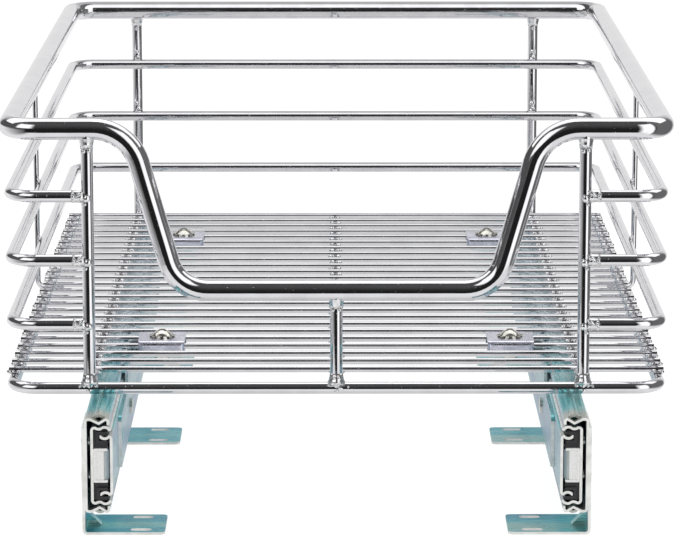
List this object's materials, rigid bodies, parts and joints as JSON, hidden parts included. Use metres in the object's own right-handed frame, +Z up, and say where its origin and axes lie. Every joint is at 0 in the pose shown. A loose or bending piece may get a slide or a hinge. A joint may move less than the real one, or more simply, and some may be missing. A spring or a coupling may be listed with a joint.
{
  "type": "pull out cabinet basket",
  "caption": "Chromed wire basket with a low handle dip in its front, on full extension ball bearing slides that stand on L brackets.",
  "frame": {"origin": "middle of the whole closed object's footprint, on the cabinet floor under the bracket feet", "axes": "+Z up, -Y the way the basket pulls out, +X to the right seen from the front"},
  "size_m": [0.3074, 0.4674, 0.1824],
  "materials": {
    "chrome_wire": "bright polished chrome plate",
    "blue_zinc": "blue-green passivated zinc plate, streaked",
    "bright_zinc": "bright zinc plate",
    "ball_steel": "polished bearing steel",
    "cage_steel": "bright pressed steel",
    "black_plastic": "black moulded plastic",
    "white_plastic": "white moulded plastic",
    "black_rubber": "black rubber"
  },
  "bodies": {
    "base": {"outer_member_left": "blue_zinc", "rear_bumper_left": "black_rubber", "bracket_front_left": "blue_zinc", "bracket_middle_left": "blue_zinc", "bracket_rear_left": "blue_zinc", "bracket_rivets_left": "bright_zinc", "outer_member_right": "blue_zinc", "rear_bumper_right": "black_rubber", "bracket_front_right": "blue_zinc", "bracket_middle_right": "blue_zinc", "bracket_rear_right": "blue_zinc", "bracket_rivets_right": "bright_zinc"},
    "basket": {"top_rim": "chrome_wire", "rail_upper": "chrome_wire", "rail_middle": "chrome_wire", "rail_lower": "chrome_wire", "bottom_frame": "chrome_wire", "front_post_left": "chrome_wire", "front_post_right": "chrome_wire", "front_post_centre": "chrome_wire", "rear_post_left": "chrome_wire", "rear_post_right": "chrome_wire", "side_post_left": "chrome_wire", "side_post_right": "chrome_wire", "underfloor_wires": "chrome_wire", "floor_wires": "chrome_wire", "clamp_front_left": "bright_zinc", "clamp_front_right": "bright_zinc", "clamp_rear_left": "bright_zinc", "clamp_rear_right": "bright_zinc", "clamp_washers": "bright_zinc", "clamp_bolts": "bright_zinc", "clamp_nuts": "bright_zinc", "carrier_left": "blue_zinc", "carrier_right": "blue_zinc", "carrier_screws": "bright_zinc", "inner_member_left": "blue_zinc", "inner_member_right": "blue_zinc"},
    "intermediate_left": {"intermediate_member_left": "bright_zinc", "front_guides_left": "black_plastic", "front_stop_left": "white_plastic"},
    "outer_ball_train_left": {"outer_cage_left": "cage_steel", "outer_balls_left": "ball_steel"},
    "inner_ball_train_left": {"inner_cage_left": "black_plastic", "inner_balls_left": "ball_steel"},
    "intermediate_right": {"intermediate_member_right": "bright_zinc", "front_guides_right": "black_plastic", "front_stop_right": "white_plastic"},
    "outer_ball_train_right": {"outer_cage_right": "cage_steel", "outer_balls_right": "ball_steel"},
    "inner_ball_train_right": {"inner_cage_right": "black_plastic", "inner_balls_right": "ball_steel"}
  },
  "joints": [
    {"name": "basket_slide", "type": "slide", "parent": "base", "child": "basket", "axis": [0, -1, 0], "range_m": [0, 0.45]},
    {"name": "intermediate_slide_left", "type": "slide", "parent": "base", "child": "intermediate_left", "axis": [0, -1, 0], "range_m": [0, 0.225]},
    {"name": "outer_cage_roll_left", "type": "slide", "parent": "base", "child": "outer_ball_train_left", "axis": [0, -1, 0], "range_m": [0, 0.1125]},
    {"name": "inner_cage_roll_left", "type": "slide", "parent": "base", "child": "inner_ball_train_left", "axis": [0, -1, 0], "range_m": [0, 0.3375]},
    {"name": "intermediate_slide_right", "type": "slide", "parent": "base", "child": "intermediate_right", "axis": [0, -1, 0], "range_m": [0, 0.225]},
    {"name": "outer_cage_roll_right", "type": "slide", "parent": "base", "child": "outer_ball_train_right", "axis": [0, -1, 0], "range_m": [0, 0.1125]},
    {"name": "inner_cage_roll_right", "type": "slide", "parent": "base", "child": "inner_ball_train_right", "axis": [0, -1, 0], "range_m": [0, 0.3375]}
  ],
  "couplings": [
    {"joint": "intermediate_slide_left", "follows": "basket_slide", "ratio": 0.5},
    {"joint": "outer_cage_roll_left", "follows": "basket_slide", "ratio": 0.25},
    {"joint": "inner_cage_roll_left", "follows": "basket_slide", "ratio": 0.75},
    {"joint": "intermediate_slide_right", "follows": "basket_slide", "ratio": 0.5},
    {"joint": "outer_cage_roll_right", "follows": "basket_slide", "ratio": 0.25},
    {"joint": "inner_cage_roll_right", "follows": "basket_slide", "ratio": 0.75}
  ]
}
